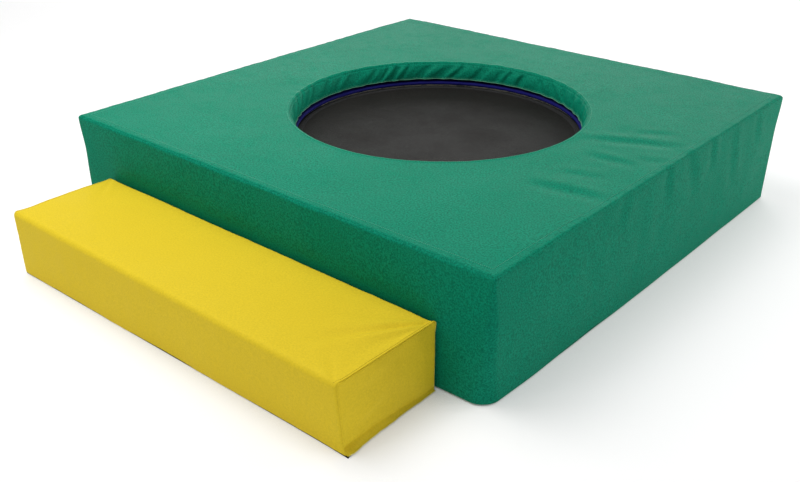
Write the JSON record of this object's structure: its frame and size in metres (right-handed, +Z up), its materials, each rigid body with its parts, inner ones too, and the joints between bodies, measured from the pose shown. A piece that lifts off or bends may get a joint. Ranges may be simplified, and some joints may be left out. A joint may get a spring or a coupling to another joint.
{
  "type": "soft play trampoline",
  "caption": "Round mini trampoline set in a square padded foam surround with a padded foam step in front, for soft play and first jumps.",
  "frame": {"origin": "middle of the whole assembly's footprint, on the floor", "axes": "+Z up; +Y from the step towards the back of the surround; +X to the right of a person who faces +Y"},
  "size_m": [1.8, 2.1828, 0.41],
  "materials": {
    "green_vinyl": "satin",
    "yellow_vinyl": "satin",
    "navy_vinyl": "satin",
    "blue_tape": "matte",
    "foam": "matte",
    "black_nonslip": "matte",
    "black_mesh": "matte",
    "black_webbing": "matte",
    "black_elastic": "matte",
    "black_rubber": "matte",
    "hook_and_loop": "matte",
    "zip_tape": "matte",
    "zip_plastic": "gloss",
    "zip_metal": "satin",
    "grey_steel": "satin",
    "zinc_plate": "satin"
  },
  "bodies": {
    "trampoline": {"frame_ring": "grey_steel", "leg_sockets": "grey_steel", "leg_bolts": "zinc_plate", "leg_nuts": "zinc_plate", "bed_springs": "zinc_plate", "pad_foam": "foam", "pad_cover": "navy_vinyl", "pad_edge_binding": "blue_tape", "pad_ties": "black_elastic", "leg_1": "grey_steel", "leg_2": "grey_steel", "leg_3": "grey_steel", "leg_4": "grey_steel", "leg_5": "grey_steel", "leg_6": "grey_steel", "leg_foot_1": "black_rubber", "leg_foot_2": "black_rubber", "leg_foot_3": "black_rubber", "leg_foot_4": "black_rubber", "leg_foot_5": "black_rubber", "leg_foot_6": "black_rubber"},
    "jump_bed": {"jump_mat": "black_mesh", "mat_edge_webbing": "black_webbing", "mat_rings": "zinc_plate"},
    "surround": {"surround_foam_front_left": "foam", "surround_foam_front_right": "foam", "surround_foam_back_left": "foam", "surround_foam_back_right": "foam", "surround_lip_foam_front_left": "foam", "surround_lip_foam_front_right": "foam", "surround_lip_foam_back_left": "foam", "surround_lip_foam_back_right": "foam", "surround_cover_top": "green_vinyl", "surround_cover_sides": "green_vinyl", "surround_cover_back": "green_vinyl", "surround_base_panel": "black_nonslip", "opening_facing": "green_vinyl", "facing_elastic": "black_elastic", "surround_loop_strips": "hook_and_loop", "surround_zip_tapes": "zip_tape", "surround_zip_teeth": "zip_plastic"},
    "surround_zip": {"surround_zip_slider": "zip_metal"},
    "step": {"step_foam": "foam", "step_cover_wrap": "yellow_vinyl", "step_cover_end_left": "yellow_vinyl", "step_cover_end_right": "yellow_vinyl", "step_base_panel": "black_nonslip", "step_hook_strips": "hook_and_loop", "step_zip_tapes": "zip_tape", "step_zip_teeth": "zip_plastic"},
    "step_zip": {"step_zip_slider": "zip_metal"}
  },
  "joints": [
    {"name": "bed_bounce", "type": "slide", "parent": "trampoline", "child": "jump_bed", "axis": [0, 0, -1], "range_m": [0, 0.08], "stiffness_N_per_m": 6000, "deforming": ["bed_springs"]},
    {"name": "surround_lift", "type": "slide", "parent": "trampoline", "child": "surround", "axis": [0, 0, 1], "range_m": [0, 0.45]},
    {"name": "surround_zip_travel", "type": "slide", "parent": "surround", "child": "surround_zip", "axis": [1, 0, 0], "range_m": [0, 1.36]},
    {"name": "step_pull_away", "type": "slide", "parent": "trampoline", "child": "step", "axis": [0, -1, 0], "range_m": [0, 0.4]},
    {"name": "step_zip_travel", "type": "slide", "parent": "step", "child": "step_zip", "axis": [1, 0, 0], "range_m": [0, 1.16]}
  ]
}
